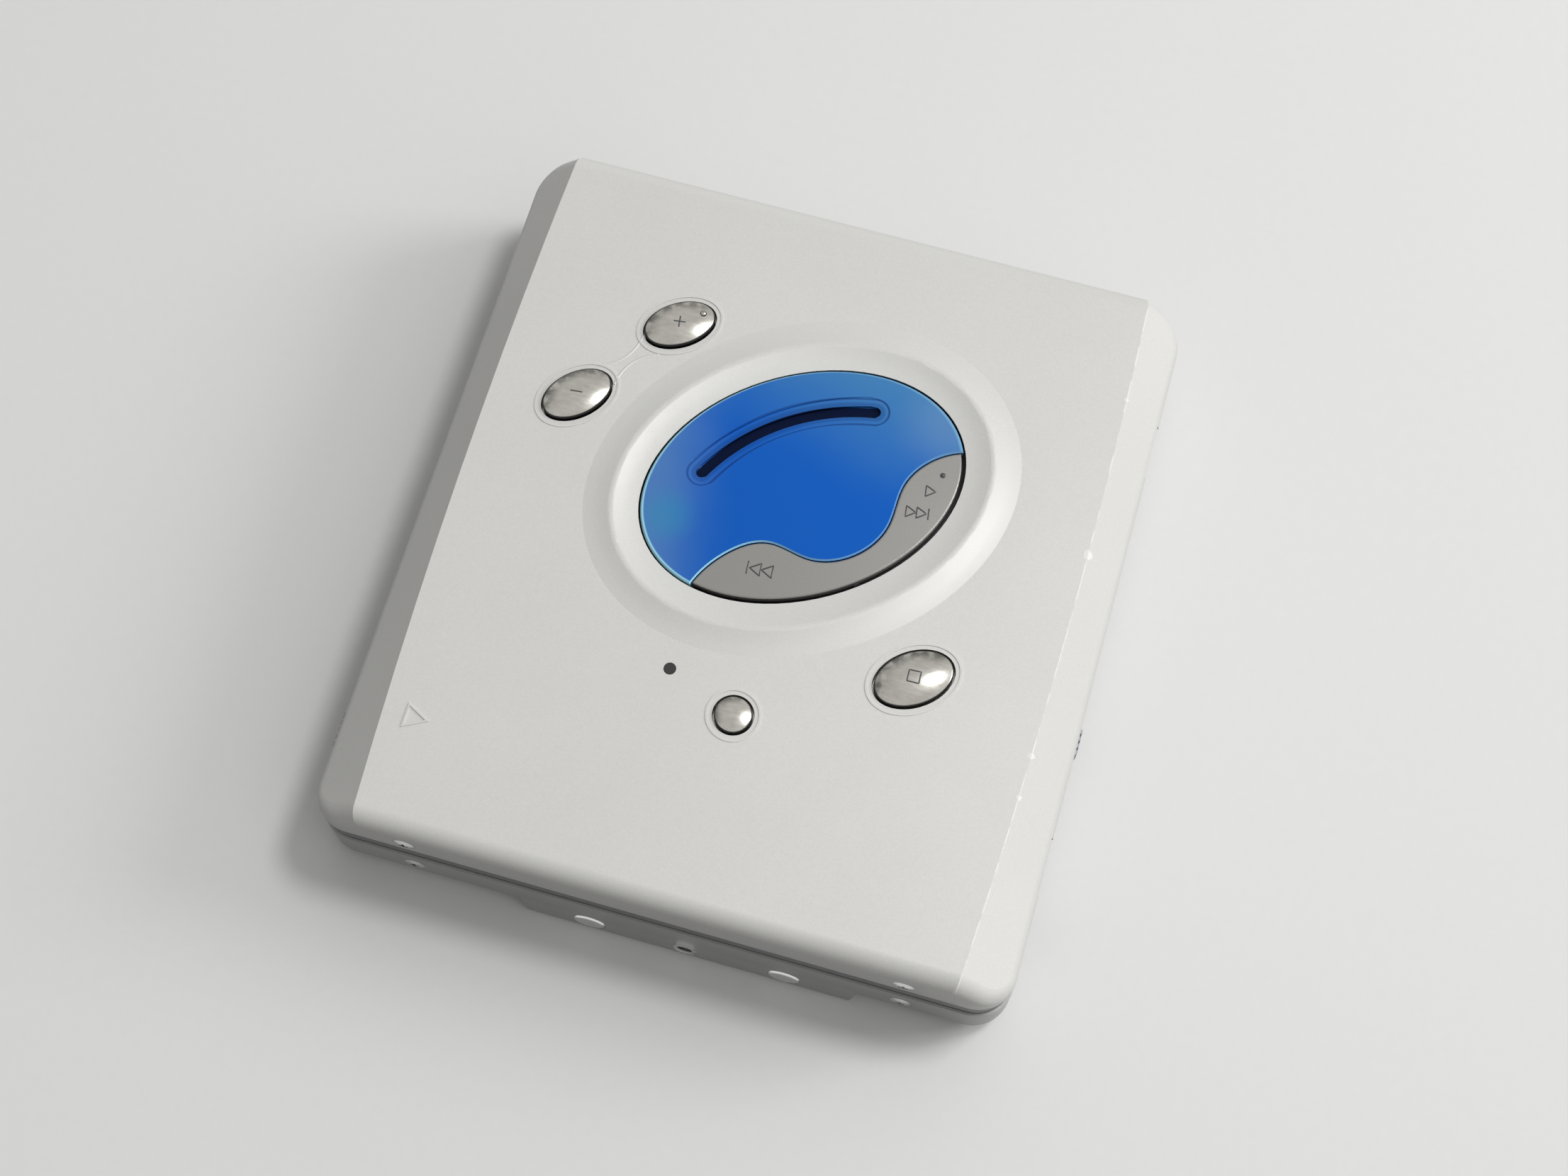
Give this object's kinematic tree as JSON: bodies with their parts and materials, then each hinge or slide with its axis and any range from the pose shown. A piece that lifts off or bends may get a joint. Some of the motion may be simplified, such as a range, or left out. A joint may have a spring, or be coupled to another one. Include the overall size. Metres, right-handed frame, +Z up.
{
  "type": "portable minidisc player",
  "caption": "Flat pocket disc player: hinged lid with an oval dial and crescent rocker key over a frame, disc holder, drive deck and battery bay.",
  "frame": {"origin": "centre of the flat base, under the spindle", "axes": "+Z up out of the lid, +Y to the far long end, +X to the hinge side"},
  "size_m": [0.0753, 0.0808, 0.018],
  "materials": {
    "silver_paint": "fine metallic paint",
    "grey_moulding": "satin moulding",
    "deck_steel": "zinc plated sheet",
    "machined_steel": "ground",
    "motor_steel": "drawn can",
    "rubber": "soft",
    "black_moulding": "matte",
    "white_moulding": "natural acetal",
    "board": "solder mask",
    "flex_board": "polyimide film",
    "chip": "moulded package",
    "battery_wrap": "shrink film",
    "spring_brass": "plated",
    "screw_steel": "nickel plated",
    "chrome_button": "bright plated",
    "window_blue": "tinted and polished",
    "key_silver": "painted",
    "lens": "coated",
    "led": "milky",
    "magnet": "sintered"
  },
  "bodies": {
    "case": {"bottom_cover": "silver_paint", "mid_frame": "grey_moulding", "deck_plate": "deck_steel", "deck_dampers": "rubber", "deck_screws": "screw_steel", "guide_shafts": "machined_steel", "spindle_motor": "motor_steel", "locating_pins": "black_moulding", "feed_post": "machined_steel", "feed_motor": "motor_steel", "main_board": "board", "board_chips": "chip", "battery": "battery_wrap", "battery_contact": "spring_brass", "door_pin": "machined_steel", "headphone_jack": "black_moulding", "hold_switch": "black_moulding", "belly_terminals": "spring_brass", "threaded_socket": "spring_brass", "case_screws": "screw_steel", "hinge_pins": "machined_steel"},
    "lid": {"lid_cover": "silver_paint", "lid_liner": "deck_steel", "lid_screws": "screw_steel", "switch_board": "flex_board", "switch_domes": "spring_brass", "display_window": "window_blue", "led_lens": "led"},
    "holder": {"disc_holder": "deck_steel"},
    "rocker": {"rocker_key": "key_silver"},
    "vol_up": {"vol_up_button": "chrome_button"},
    "vol_down": {"vol_down_button": "chrome_button"},
    "stop": {"stop_button": "chrome_button"},
    "group": {"group_button": "chrome_button"},
    "open_slider": {"open_knob": "grey_moulding", "latch_plate": "deck_steel"},
    "hold_slider": {"hold_knob": "grey_moulding"},
    "turntable": {"turntable": "black_moulding", "chuck_magnet": "magnet"},
    "sled": {"sled": "black_moulding", "objective_lens": "lens", "sled_rack": "white_moulding"},
    "feed_gear": {"feed_gear": "white_moulding"},
    "drive_pinion": {"drive_pinion": "spring_brass"},
    "battery_door": {"battery_door": "silver_paint", "door_contact": "spring_brass"}
  },
  "joints": [
    {"name": "lid_hinge", "type": "hinge", "parent": "case", "child": "lid", "pos_m": [0.0359, 0, 0.011], "axis": [0, 1, 0], "range_deg": [0, 30]},
    {"name": "holder_hinge", "type": "hinge", "parent": "case", "child": "holder", "pos_m": [0.0359, 0, 0.011], "axis": [0, 1, 0], "range_deg": [0, 18.1]},
    {"name": "rocker_tilt", "type": "hinge", "parent": "lid", "child": "rocker", "pos_m": [0.01, -0.0004, 0.0164], "axis": [0.6756, -0.7373, 0], "range_deg": [-1.2, 1.2], "stiffness_Nm_per_rad": 0.05},
    {"name": "vol_up_press", "type": "slide", "parent": "lid", "child": "vol_up", "axis": [0, 0, 1], "range_m": [-0.0003, 0], "stiffness_N_per_m": 400},
    {"name": "vol_down_press", "type": "slide", "parent": "lid", "child": "vol_down", "axis": [0, 0, 1], "range_m": [-0.0003, 0], "stiffness_N_per_m": 400},
    {"name": "stop_press", "type": "slide", "parent": "lid", "child": "stop", "axis": [0, 0, 1], "range_m": [-0.0003, 0], "stiffness_N_per_m": 400},
    {"name": "group_press", "type": "slide", "parent": "lid", "child": "group", "axis": [0, 0, 1], "range_m": [-0.0003, 0], "stiffness_N_per_m": 400},
    {"name": "open_slide", "type": "slide", "parent": "case", "child": "open_slider", "axis": [0, 1, 0], "range_m": [0, 0.0025], "stiffness_N_per_m": 150},
    {"name": "hold_slide", "type": "slide", "parent": "case", "child": "hold_slider", "axis": [0, 1, 0], "range_m": [0, 0.002]},
    {"name": "spindle_spin", "type": "hinge", "parent": "case", "child": "turntable", "pos_m": [0, 0, 0.0081], "axis": [0, 0, 1], "continuous": true},
    {"name": "sled_slide", "type": "slide", "parent": "case", "child": "sled", "axis": [0, -1, 0], "range_m": [0, 0.016]},
    {"name": "feed_gear_spin", "type": "hinge", "parent": "case", "child": "feed_gear", "pos_m": [0.01575, -0.019, 0.00615], "axis": [0, 0, 1], "range_deg": [0, 525]},
    {"name": "drive_pinion_spin", "type": "hinge", "parent": "case", "child": "drive_pinion", "pos_m": [0.02175, -0.019, 0.0066], "axis": [0, 0, 1], "range_deg": [-1573, 0]},
    {"name": "battery_door_hinge", "type": "hinge", "parent": "case", "child": "battery_door", "pos_m": [-0.0367, 0.0191, 0.004], "axis": [0, 0, 1], "range_deg": [0, 85]}
  ],
  "couplings": [
    {"joint": "holder_hinge", "follows": "lid_hinge", "ratio": 0.6},
    {"joint": "feed_gear_spin", "follows": "sled_slide", "rad_per_m": 571.43},
    {"joint": "drive_pinion_spin", "follows": "sled_slide", "rad_per_m": -1714.3}
  ]
}
